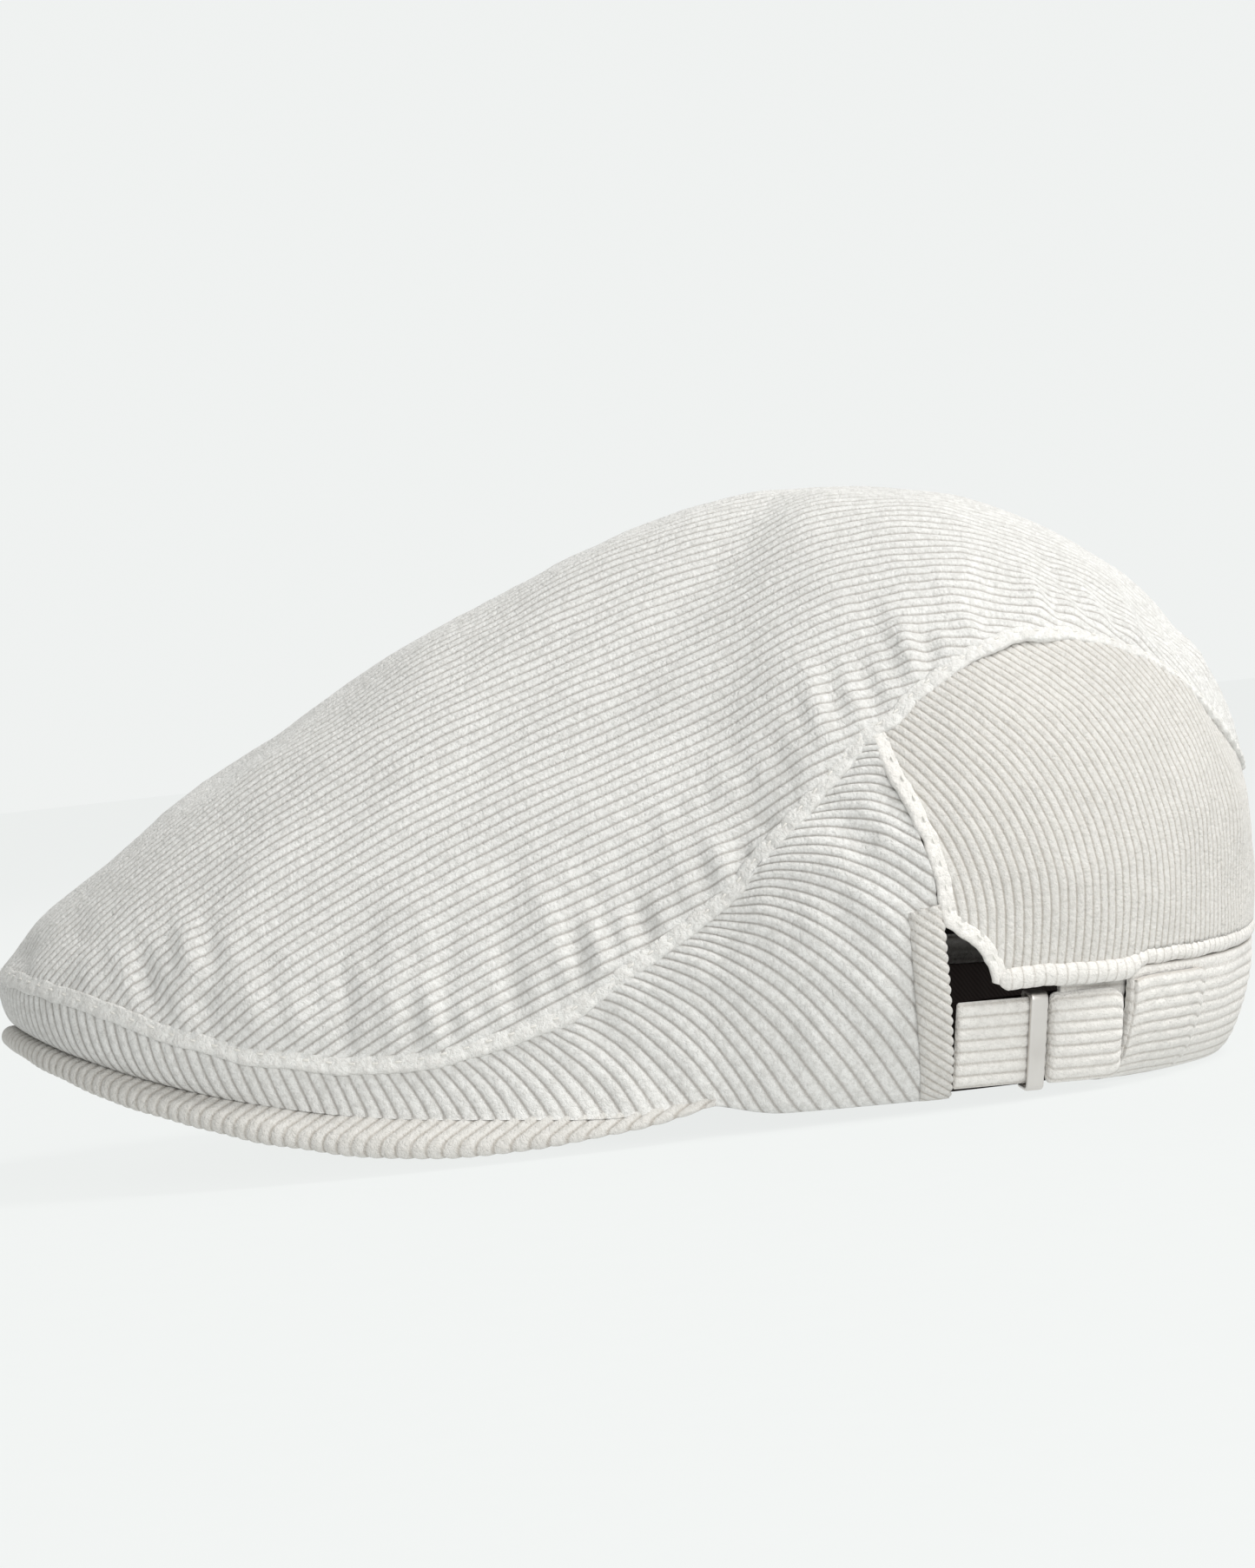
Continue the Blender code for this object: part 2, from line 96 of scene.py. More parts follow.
def curve(x, pairs):
    """cubic Hermite curve through (place, value) pairs, flat beyond its ends"""
    place, value = np.array(pairs, float).T
    step = np.diff(place)
    slope = np.diff(value) / step
    tangent = np.zeros_like(value)
    tangent[1:-1] = (slope[:-1] * step[1:] + slope[1:] * step[:-1]) / (step[1:] + step[:-1])
    x = np.clip(x, place[0], place[-1])
    i = np.clip(np.searchsorted(place, x, side="right") - 1, 0, len(place) - 2)
    h = step[i]
    t = (x - place[i]) / h
    return ((2 * t**3 - 3 * t**2 + 1) * value[i] + (t**3 - 2 * t**2 + t) * h * tangent[i]
            + (3 * t**2 - 2 * t**3) * value[i + 1] + (t**3 - t**2) * h * tangent[i + 1])


def fold(deg):
    """the angle from the front, 0 to 180, the same on both sides"""
    return np.abs((deg + 180) % 360 - 180)


def around(deg, pairs):
    """a curve through (angle from the front, value) pairs"""
    return curve(fold(deg), pairs)


def heading(deg):
    """level direction of a plan angle: sine and minus cosine"""
    r = np.radians(deg)
    return np.sin(r), -np.cos(r)


def unit(v):
    """a vector divided by its length"""
    v = np.asarray(v, float)
    return v / np.maximum(np.linalg.norm(v, axis=-1, keepdims=True), 1e-12)


def brim_edge_x(y):
    """half width W(1 - t^p)^(1/p) from the widest place to the tip, drawn in by a square behind it"""
    t = np.clip((y - BRIM_WIDEST_Y) / (BRIM_TIP_Y - BRIM_WIDEST_Y), 0, 1)
    rear = np.clip((y - BRIM_WIDEST_Y) / -BRIM_WIDEST_Y, 0, 1)
    return BRIM_HALF_WIDTH * (1 - t**BRIM_POWER) ** (1 / BRIM_POWER) - BRIM_REAR_DRAW * rear**2


def brim_top(x, y):
    """arched plate: tip height plus slope times y, less arch times x^2"""
    return BRIM_TIP_Z + BRIM_SLOPE * (y - BRIM_TIP_Y) - BRIM_ARCH * x * x


def ellipse_radius(deg, half_width, half_length):
    """distance from the pole axis to an ellipse round the head opening: the positive root of a quadratic"""
    sx, sy = heading(deg)
    back = POLE_Y - RIM_CENTRE_Y
    a = (sx / half_width) ** 2 + (sy / half_length) ** 2
    b = sy * back / half_length**2
    c = (back / half_length) ** 2 - 1
    return (-b + np.sqrt(b * b - a * c)) / a


def brim_edge_radius(deg):
    """distance from the pole axis to the brim's outline, read from its half width by angle"""
    front = BRIM_TIP_Y + (BRIM_WIDEST_Y - BRIM_TIP_Y) * np.linspace(0, 1, 400) ** 2.2
    y = np.concatenate([front, np.linspace(BRIM_WIDEST_Y + 1, 80, 60)])
    x = brim_edge_x(y)
    return np.interp(fold(deg), np.degrees(np.arctan2(x, POLE_Y - y)), np.hypot(x, POLE_Y - y))


def ground(deg, x, y):
    """what the crown stands on: the brim's top in front, the tilted rim plane behind"""
    w = rise(fold(deg), *LIP_MERGE)
    return (brim_top(x, y) + SEAM_GAP) * (1 - w) + RIM_RISE * (1 - y / RIM_LEVEL_Y) * w


def lower_edge(deg):
    """radius and height of the crown's edge: the inset brim outline in front, the head ellipse behind"""
    w = rise(fold(deg), *LIP_MERGE)
    r = (brim_edge_radius(deg) - around(deg, LIP_INSET)) * (1 - w)
    r = r + ellipse_radius(deg, RIM_HALF_WIDTH, RIM_HALF_LENGTH) * w
    sx, sy = heading(deg)
    return r, ground(deg, r * sx, POLE_Y + r * sy)


def ring(deg, t):
    """plan radius and height of the crown: a cone blended with a superellipse above t = 1, a quarter ellipse below"""
    widest, widest_z = around(deg, WIDEST_RADIUS), around(deg, WIDEST_Z)
    lower, lower_z = lower_edge(deg)
    straight, power = around(deg, STRAIGHT_SHARE), around(deg, ROUND_POWER)
    rho = np.sin(np.pi / 2 * np.clip(t, 0, 1))
    cone = (np.hypot(TIP_SOFTNESS, rho) - TIP_SOFTNESS) / (np.hypot(TIP_SOFTNESS, 1) - TIP_SOFTNESS)
    drop = straight * cone + (1 - straight) * (1 - np.sqrt(np.maximum(1 - rho**power, 0)))
    turn = np.clip(t - 1, 0, 1) * np.pi / 2
    r = np.where(t <= 1, widest * rho, lower + (widest - lower) * np.cos(turn))
    z = np.where(t <= 1, TOP_Z - (TOP_Z - widest_z) * drop, widest_z + (lower_z - widest_z) * np.sin(turn))
    return r, z


def crown(deg, t):
    """points of the crown surface: the ring's radius along the heading, from the pole axis"""
    r, z = ring(deg, t)
    sx, sy = heading(deg)
    return np.stack([r * sx, POLE_Y + r * sy, z], -1)


def crown_normal(deg, t):
    """cross product of the surface's two differences, outward"""
    t = np.clip(t, 0.02, 1.96)
    down = crown(deg, t + 0.012) - crown(deg, t - 0.012)
    return unit(np.cross(down, crown(deg + 0.4, t) - crown(deg - 0.4, t)))


def out_normal(deg, t):
    """the crown's normal, turned level near the lower edge so that cloth thickness stays sideways there"""
    near = rise(t, 1.3, 1.9)[..., None]
    sx, sy = heading(deg)
    return unit(crown_normal(deg, t) * (1 - near) + np.stack([sx, sy, 0 * sx], -1) * near)


# ---------- cloth relief ----------
def rib(distance, pitch=RIB):
    """cord height |sin(pi d / pitch)|^0.8, with 0 in the groove"""
    return np.abs(np.sin(np.pi * distance / pitch)) ** 0.8


def ripple(p, seed, length, count=14):
    """sum of cosines with random directions and phases, from -1 to 1; length is the mean wave in mm per axis"""
    rng = np.random.default_rng(seed)
    k = rng.normal(size=(count, 3)) * 2 * np.pi / np.array(length)
    phase = rng.uniform(0, 2 * np.pi, count)
    return np.cos(p @ k.T + phase).sum(-1) / count**0.5 / 1.4


def puckers(p, seam_distance):
    """short folds across the ribs, strongest about 12 mm from the seam and gone 60 mm away, plus slow waves"""
    near = np.exp(-((seam_distance - 12) / 18.0) ** 2) * (0.35 + 0.65 * rise(ripple(p, 5, (90, 45, 60)), -0.4, 0.7))
    folds = ripple(p, 11, (60, 11, 40))
    slow = ripple(p, 23, (70, 55, 60))
    return 1.75 * near * folds + 0.8 * slow + 0.16 * ripple(p, 31, (14, 14, 14))


def path_length(p):
    """running length along a path of points, from 0"""
    return np.concatenate([[0], np.cumsum(np.linalg.norm(np.diff(p, axis=0), axis=1))])


def row_length(p):
    """running length along each row of a grid of points, from 0"""
    return np.concatenate([np.zeros((len(p), 1)), np.cumsum(np.linalg.norm(np.diff(p, axis=1), axis=2), axis=1)], 1)


def surface_normals(p):
    """cross product of a grid's differences along its columns and rows"""
    return unit(np.cross(np.gradient(p, axis=1), np.gradient(p, axis=0)))


# ---------- meshes ----------
def mesh_piece(name, points, faces, material, body="cap", crest=None):
    """a smooth mesh at the origin that rides on a body; crest is 0 in a groove and 1 on a rib"""
    mesh = bpy.data.meshes.new(name)
    mesh.from_pydata(((points + SHIFT) * MM).tolist(), [], faces.tolist() if hasattr(faces, "tolist") else faces)
    mesh.update()
    mesh.polygons.foreach_set("use_smooth", np.ones(len(mesh.polygons), bool))
    if crest is not None:
        layer = mesh.attributes.new("crest", "FLOAT", "POINT")
        layer.data.foreach_set("value", crest.ravel().astype(np.float32))
    piece = bpy.data.objects.new(name, mesh)
    bpy.context.scene.collection.objects.link(piece)
    mesh.materials.append(material)
    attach(piece, body)
    return piece


def quads(rows, columns, loop_rows=False, loop_columns=False):
    """faces of a grid of points, joined round on itself where asked"""
    i = np.arange(rows * columns).reshape(rows, columns)
    if loop_rows:
        i = np.vstack([i, i[:1]])
    if loop_columns:
        i = np.hstack([i, i[:, :1]])
    return np.stack([i[:-1, :-1], i[1:, :-1], i[1:, 1:], i[:-1, 1:]], -1).reshape(-1, 4)


def sheet_mesh(name, points, material, flip=False, crest=None, loop_rows=False, loop_columns=False):
    """a grid of points as one piece, its faces reversed where flip is set"""
    faces = quads(*points.shape[:2], loop_rows, loop_columns)
    faces = faces[:, ::-1] if flip else faces
    return mesh_piece(name, points.reshape(-1, 3), faces, material, crest=crest)


def cloth_grid(name, points, normals, height, material, crest, flip=False, turn=1.5):
    """a panel raised by height along its normals, its border rolled under by turn mm"""
    raised = roll_border(points + normals * height[..., None], normals, turn)
    return sheet_mesh(name, raised, material, flip, np.pad(crest, 2, mode="edge"))


def roll_border(p, normals, turn):
    """adds two rings outside a grid's border, the first level with it and the second turn mm under it"""
    p = np.pad(p, ((2, 2), (2, 2), (0, 0)), mode="edge")
    n = np.pad(normals, ((2, 2), (2, 2), (0, 0)), mode="edge")
    depth = np.zeros(p.shape[:2])
    for ring_index, low in ((1, 0.45), (0, 1.0)):
        depth[[ring_index, -1 - ring_index], :] = low
        depth[:, [ring_index, -1 - ring_index]] = np.maximum(depth[:, [ring_index, -1 - ring_index]], low)
    return p - n * (depth * turn)[..., None]


# ---------- top panel ----------
def top_sections():
    """sections of the crown by planes of constant y: bisection for the angle at each depth, then arc length"""
    front, back = crown(np.array(0.0), np.array(0.945))[1], crown(np.array(180.0), np.array(0.955))[1]
    v = np.linspace(0, 1, 260)
    y = front + (back - front) * (1 - np.cos(np.pi * v)) / 2
    end = np.where(y < POLE_Y, 0.0, 180.0)
    start = 2 / np.pi * np.arcsin(np.clip(np.abs(y - POLE_Y) / around(end, WIDEST_RADIUS), 0, 1))
    last = np.where(y > 60, 1.0, 1.34)
    t = start[:, None] + (last - start)[:, None] * np.linspace(0, 1, 300)[None, :] ** 1.3
    low, high = np.zeros_like(t), np.full_like(t, 180.0)
    for _ in range(34):
        mid = (low + high) / 2
        ahead = POLE_Y + ring(mid, t)[0] * heading(mid)[1] < y[:, None]
        low, high = np.where(ahead, mid, low), np.where(ahead, high, mid)
    deg = (low + high) / 2
    p = crown(deg, t)
    p[:, 0, 0] = 0
    q = row_length(p)
    past = t - around(deg, TOP_SEAM)
    hit = np.argmax(past > 0, axis=1)
    hit = np.where((past > 0).any(1), hit, t.shape[1] - 1)
    rows = np.arange(len(y))
    seam = q[rows, hit]
    return y, seam, q, p


def top_panel(material):
    """ribs at equal steps of section arc, running front to back between the seam's two crossings"""
    y, seam, q, p = top_sections()
    widest = int(seam.argmax())
    fine = np.arange(0, seam.max() + 1.0, 0.3)
    table = np.stack([np.stack([np.interp(fine, q[i], p[i, :, k]) for k in (0, 2)], -1) for i in range(len(y))])
    columns = int(seam.max() / RIB) * RIB_SAMPLES
    across = np.arange(-columns, columns + 1) * RIB / RIB_SAMPLES
    side = np.abs(across)
    rising = np.maximum.accumulate(seam[:widest + 1])
    falling = np.maximum.accumulate(seam[widest:][::-1])
    start = np.interp(side, rising, y[:widest + 1])
    stop = np.interp(side, falling, y[widest:][::-1])
    v = np.linspace(0, 1, 112)
    v = 0.45 * v + 0.55 * (1 - np.cos(np.pi * v)) / 2
    at_y = start[:, None] + (stop - start)[:, None] * v[None, :]
    place = np.arccos(np.clip(1 - 2 * (at_y - y[0]) / (y[-1] - y[0]), -1, 1)) / np.pi * (len(y) - 1)
    column = np.clip(side / 0.3, 0, len(fine) - 1.001)[:, None] * np.ones_like(at_y)
    row, col = np.clip(place.astype(int), 1, len(y) - 3), column.astype(int)
    a, b = (place - row)[..., None], (column - col)[..., None]

    def line(k):
        return table[row + k, col] * (1 - b) + table[row + k, col + 1] * b

    before, here, ahead, beyond = line(-1), line(0), line(1), line(2)
    xz = here + 0.5 * a * (ahead - before + a * (2 * before - 5 * here + 4 * ahead - beyond
                                                 + a * (3 * (here - ahead) + beyond - before)))
    points = np.stack([xz[..., 0] * np.sign(across)[:, None], at_y, xz[..., 1]], -1)
    normals = -surface_normals(points)
    seam_here = np.interp(at_y, y, seam)
    gap = np.minimum(seam_here - side[:, None], 0.55 * np.minimum(at_y - start[:, None], stop[:, None] - at_y) + 3)
    crest = rib(across)[:, None] * np.ones_like(at_y)
    height = crest * RIB_HEIGHT + puckers(points, seam_here - side[:, None]) * rise(gap, 0.0, 9.0)
    piece = cloth_grid("top_panel_cloth", points, normals, height, material, crest)
    sewn(points)
    return piece


# ---------- side panels ----------
FOOT = [(0, 0), (12, 12), (20, 20.3), (26, 26.8), (32, 33.6), (36, 39), (40, 45.5), (44.5, 53), (50.4, 64.5),
        (55, 75.5), (60, 88), (66, 104), (70, 115), (77.5, 134), (83, 149), (88, 163)]


def depth_at(deg, share):
    """the depth t at a share of the way down from the top seam to the lower edge, by arc length at each angle"""
    angles, shares = np.linspace(0, 132, 265), np.linspace(0, 1, 120)
    seam = around(angles, TOP_SEAM)[:, None]
    t = seam + (2 - seam) * np.linspace(0, 1, 160)[None, :]
    arc = row_length(crown(angles[:, None] + 0 * t, t))
    table = np.stack([np.interp(shares, a / a[-1], row) for a, row in zip(arc, t)])
    u, v = np.clip(deg / 0.5, 0, 263.999), np.clip(share * 119 + 0 * deg, 0, 118.999)
    i, j = u.astype(int), v.astype(int)
    a, b = u - i, v - j
    return ((table[i, j] * (1 - a) + table[i + 1, j] * a) * (1 - b)
            + (table[i, j + 1] * (1 - a) + table[i + 1, j + 1] * a) * b)


def side_panel(name, side, material, stop_edge):
    """ribs as straight runs in angle and depth from the top seam to the lower edge or the rear seam;
    their number grows by the gap between neighbours measured square to the run"""
    top = np.linspace(-0.25, 87.8, 700)
    foot = curve(top, FOOT)
    middle = 0.35

    def run(share):
        deg = np.minimum(top + (foot - top) * share, 130.0)
        return deg, depth_at(deg, share)

    here = crown(*run(middle))
    ahead = crown(*run(middle + 0.02)) - here
    step = np.gradient(here, axis=0)
    gap = np.linalg.norm(np.cross(step, unit(ahead)), axis=-1)
    total = np.concatenate([[0], np.cumsum((gap[1:] + gap[:-1]) / 2)])
    count = int(total[-1] / RIB) * RIB_SAMPLES
    distance = np.arange(count + 1) * RIB / RIB_SAMPLES
    first = np.interp(distance, total, top)
    foot = curve(first, FOOT)
    low, high = np.zeros_like(first), np.ones_like(first)
    for _ in range(30):
        share = (low + high) / 2
        deg = first + (foot - first) * share
        inside = deg < np.interp(depth_at(deg, share), *np.array(stop_edge).T)
        low, high = np.where(inside, share, low), np.where(inside, high, share)
    v = np.linspace(0, 1, 64)[None, :] * low[:, None]
    deg = first[:, None] + (foot - first)[:, None] * v
    t = depth_at(deg, v)
    points, normals = crown(deg, t), out_normal(deg, t)
    crest = rib(distance)[:, None] * np.ones_like(deg)
    room = rise(deg, 22, 60)
    down = (t - around(deg, TOP_SEAM)) * 60
    near = 0.5 * np.exp(-((down - 8) / 9.0) ** 2)
    wave = ripple(points, 41, (60, 26, 30)) * 0.8 + near * ripple(points, 47, (30, 16, 20))
    height = crest * RIB_HEIGHT + wave * room * rise(2 - t, 0, 0.25) - 0.2
    points[..., 0] *= side
    normals[..., 0] *= side
    piece = cloth_grid(name, points, normals, height, material, crest, flip=side > 0)
    sewn(points)
    return piece


# ---------- back panel ----------
def ring_arc(t, degrees):
    """arc length along the crown at depth t, measured from the centre back towards both sides"""
    p = crown(degrees, np.full_like(degrees, t))
    s = path_length(p)
    return s - np.interp(180.0, degrees, s)


def back_panel(material):
    """upright ribs at equal arc steps from the centre back, each from the hem up to the first seam it meets"""
    levels = np.linspace(0.56, 1.34, 150)
    degrees = np.linspace(84, 276, 500)
    arcs = [ring_arc(t, degrees) for t in levels]
    across = np.arange(-74 * RIB_SAMPLES, 74 * RIB_SAMPLES + 1) * BACK_RIB / RIB_SAMPLES
    deg = np.stack([np.interp(across, s, degrees) for s in arcs], 1)
    t = levels[None, :] * np.ones((len(across), 1))
    left = np.where(deg < 180, curve(t, WINDOW_EDGE) + 0.2, curve(t, REAR_SEAM) + 0.2)
    hem = around(deg, HEM_TOP) + 0.012 + HEM_DROP * (1 - rise(deg, 119, 125))
    inside = (fold(deg) > left) & (t > around(deg, TOP_SEAM)) & (t < hem)
    keep = inside.sum(1) > 3
    across, deg, inside = across[keep], deg[keep], inside[keep]
    top, low = levels[inside.argmax(1)], levels[len(levels) - 1 - inside[:, ::-1].argmax(1)]
    v = np.linspace(0, 1, 66)[None, :]
    t = top[:, None] + (low - top)[:, None] * v
    place = (t - levels[0]) / (levels[1] - levels[0])
    row = np.clip(place.astype(int), 0, len(levels) - 2)
    column = np.arange(len(across))[:, None]
    deg = deg[column, row] * (1 - (place - row)) + deg[column, row + 1] * (place - row)
    points, normals = crown(deg, t), crown_normal(deg, t)
    crest = rib(across, BACK_RIB)[:, None] * np.ones_like(t)
    wave = 0.7 * ripple(points, 61, (60, 60, 50)) + 0.15 * ripple(points, 63, (14, 14, 14))
    height = crest * RIB_HEIGHT * 0.7 + wave * rise(low[:, None] - t, 0, 0.2)
    piece = cloth_grid("back_panel_cloth", points, normals, height, material, crest)
    sewn(points)
    return piece


# ---------- strips, rolls and bands ----------
def smooth_path(deg, t, side=1.0):
    """a path on the crown with its tangent, outward normal and the direction square to both"""
    p, n = crown(deg, t), out_normal(deg, t)
    p[:, 0] *= side
    n[:, 0] *= side
    tangent = unit(np.gradient(p, axis=0))
    return p, tangent, n, unit(np.cross(n, tangent))


def strip(name, path, profile, material, wave, seed):
    """profile points (across, out) carried along a path; both ends taper shut"""
    p, _, n, c = path
    profile = np.array(profile, float)
    length = path_length(p)
    shut = np.minimum(rise(length, -0.4, 1.0), rise(length[-1] - length, -0.4, 1.0))
    centre = profile.mean(0)
    shape = centre + (profile[None] - centre) * shut[:, None, None]
    waver = wave * (ripple(p, seed, (26, 26, 26)) + 0.6 * ripple(p, seed + 1, (9, 9, 9)))[:, None, None]
    pit = 0.3 * np.exp(-(((length % STITCH_STEP) - STITCH_STEP / 2) / 0.8) ** 2)[:, None, None]
    out = shape[..., 1:] - pit * shut[:, None, None]
    grid = p[:, None] + c[:, None] * (shape[..., :1] + waver) + n[:, None] * out
    return sheet_mesh(name, grid, material, crest=np.ones(grid.shape[:2]), loop_columns=True)


def turned_edge(width=2.9, high=0.95, low=-0.9, count=9):
    """a flat folded edge: low on the panel side, rounded over at 0 and back under itself"""
    a = np.linspace(0, np.pi, count)
    nose = np.stack([0.25 + 0.75 * np.sin(a), (high + low) / 2 + (high - low) / 2 * np.cos(a)], 1)
    top = np.stack([np.linspace(-width, 0, 7), np.linspace(0.28, high, 7)], 1)
    return np.concatenate([top, nose[1:], [(-width, low)]])


def stitches(name, path, material, offset):
    """thread dashes along a path: small bent capsules, each a ring of points swept over a shallow arch"""
    p, tangent, n, c = path
    length = path_length(p)
    at = np.arange(STITCH_STEP * 1.5, length[-1] - STITCH_STEP, STITCH_STEP)

    def pick(values):
        return np.stack([np.interp(at, length, values[:, k]) for k in range(3)], -1)

    p, tangent, n, c = pick(p), unit(pick(tangent)), unit(pick(n)), unit(pick(c))
    s = np.linspace(-1, 1, 7)
    girth = STITCH_THICK * np.sqrt(np.maximum(1 - s**6, 0.0)) + 0.02
    turn = np.linspace(0, 2 * np.pi, 7)[:-1]
    local = np.stack([s[:, None] * STITCH_LONG / 2 + 0 * turn, girth[:, None] * np.cos(turn) + 0 * s[:, None],
                      girth[:, None] * np.sin(turn) + (STITCH_OUT - 0.22 * s**2)[:, None]], -1)
    grid = (p[:, None, None] + c[:, None, None] * (offset + local[None, ..., 1:2])
            + tangent[:, None, None] * local[None, ..., :1] + n[:, None, None] * local[None, ..., 2:])
    faces = quads(len(s), len(turn), loop_columns=True)
    faces = (faces[None] + (np.arange(len(at)) * len(s) * len(turn))[:, None, None]).reshape(-1, 4)
    return mesh_piece(name, grid.reshape(-1, 3), faces, material)


def panel_size(points, turning=1.5):
    """size of a smooth grid in metres: its longest line each way, which follows the border where that curves, and the
    sum of its cells' areas, each with the turning added all round"""
    down, over = np.diff(points, axis=1), np.diff(points, axis=0)
    length = np.linalg.norm(down, axis=2).sum(1).max() * MM
    width = np.linalg.norm(over, axis=2).sum(0).max() * MM
    area = np.linalg.norm(np.cross(down[:-1], over[:, :-1]), axis=2).sum() * MM * MM
    border = 2 * turning * MM
    area, width, length = area + border * (width + length), width + border, length + border
    return (float(width), float(length)), float(min(area, width * length))


def sewn(points, turning=1.5):
    """works out the flat size and area of a piece's smooth grid as a sheet; nothing is done with them"""
    flat, area = panel_size(points, turning)


# ---------- hems, bands and binding ----------
def roll(name, deg, t, radius, material, lift, squash):
    """a soft roll: ellipses of the given radius along a path, wavering slowly and swelling with each cord across it"""
    p, _, n, c = smooth_path(deg, t)
    length = path_length(p)
    shut = np.sqrt(np.clip(np.minimum(length, length[-1] - length) / 2.2, 0, 1))
    cord = np.abs(np.sin(np.pi * length / RIB)) ** 0.6
    girth = (radius * shut * (0.97 + 0.05 * cord))[:, None]
    a = np.linspace(0, 2 * np.pi, 17)[:-1]
    waver = 0.22 * ripple(p, 167, (14, 14, 14))[:, None]
    grid = (p[:, None] + n[:, None] * (lift + girth * np.cos(a) * squash)[..., None]
            + c[:, None] * (girth * np.sin(a) + waver)[..., None])
    return sheet_mesh(name, grid, material, crest=cord[:, None] * np.ones(len(a)), loop_columns=True)


def back_band(material):
    """the crown surface from the hem to the lower edge, with cords at equal steps of length down it"""
    deg = np.linspace(121.5, 266.3, 330)[:, None] * np.ones(96)
    top = around(deg, HEM_TOP) + HEM_DEPTH - 0.004
    t = top + (2.0 - top) * np.linspace(0, 1, 96)[None, :]
    p, n = crown(deg, t), out_normal(deg, t)
    down = row_length(p)
    crest = rib(down)
    height = crest * 0.28 + 0.5 * ripple(p, 71, (40, 40, 30)) * rise(down, 0, 6) - 0.1
    piece = cloth_grid("back_band_cloth", p, n, height, material, crest, turn=2.0)
    sewn(p)
    return piece


def binding(material):
    """a cloth strip round the window's front edge: its height bulges as 1 - u^4, its cords run slantwise"""
    u = np.linspace(-1, 1, 44)[:, None] * np.ones(210)
    t = np.ones((44, 1)) * np.linspace(0.962, 1.992, 210)[None, :]
    deg = 91.2 + 2.35 * u
    run = row_length(crown(deg, t))
    across = u * 3.7
    distance = (run - 1.0 * across) * 1.15
    crest = rib(distance)
    deg = deg + 0.28 * rise(u, 0.55, 1.0) * (crest - 0.6)
    p, n = crown(deg, t), out_normal(deg, t)
    height = 1.0 * (1 - u**4) + 0.1 + crest * 0.42 * (1 - 0.5 * u**6) + 0.25 * ripple(p, 83, (20, 20, 14))
    piece = cloth_grid("window_binding_cloth", p, n, height, material, crest, turn=2.2)
    sewn(p, turning=2.2)
    return piece


# ---------- brim ----------
def brim_cover(name, material, top, underneath):
    """polar grid from the head opening to the outline, arched as the board, then a quarter-round nose at the edge;
    cords run slantwise at equal steps of arc length across plus length along"""
    rows = 64
    deg = np.linspace(-61, 61, 1150)[:, None]
    thin = 1 - 0.9 * rise(fold(deg), 30, 60)
    nose = 2.05 * thin
    inner = ellipse_radius(deg, RIM_HALF_WIDTH - 3.2, RIM_HALF_LENGTH - 3.2)
    edge = np.maximum(brim_edge_radius(deg) - nose, inner + 0.6)
    top = top * thin
    share = 1 - (1 - np.linspace(0, 1, rows)[None, :]) ** 1.7
    r = inner + (edge - inner) * share
    turn = np.linspace(0, np.pi / 2, 9)[None, 1:]
    r = np.concatenate([r, edge + nose * np.sin(turn)], 1)
    fall = np.concatenate([np.zeros((len(deg), rows)), np.ones((len(deg), 1)) * nose * (1 - np.cos(turn))], 1)
    sx, sy = heading(deg)
    x, y = r * sx, POLE_Y + r * sy
    arch = 0.5 * x * np.sqrt(1 + (2 * BRIM_ARCH * x) ** 2) + np.arcsinh(2 * BRIM_ARCH * x) / (4 * BRIM_ARCH)
    distance = 0.8 * arch + 0.6 * y
    crest = rib(distance)
    bump = crest * 0.40 + 0.3 * ripple(np.stack([x, y, 0 * x], -1), 91, (30, 30, 30))
    z = brim_top(x, y) - top + (fall if underneath else -fall)
    p = np.stack([x, y, z], -1)
    slope = np.stack([2 * BRIM_ARCH * x, -BRIM_SLOPE + 0 * x, np.ones_like(x)], -1)
    n = unit(slope) * (-1 if underneath else 1)
    bend = np.concatenate([np.zeros((1, rows)), turn], 1)
    level = np.stack([sx + 0 * x, sy + 0 * x, -2 * BRIM_ARCH * x * sx + BRIM_SLOPE * sy], -1)
    n = unit(n * np.cos(bend)[..., None] + unit(level) * np.sin(bend)[..., None])
    bump[:, :rows] *= rise(share, 0.0, 0.5)
    piece = sheet_mesh(name, p + n * bump[..., None], material, flip=underneath, crest=crest)
    flat, area = panel_size(p)
    return piece


# ---------- adjuster ----------
def strap_axes():
    """directions along, up and out of the strap, square to each other"""
    along = unit(STRAP_ALONG)
    out = unit(np.cross(along, unit(STRAP_LEAN)))
    return along, np.cross(out, along), out


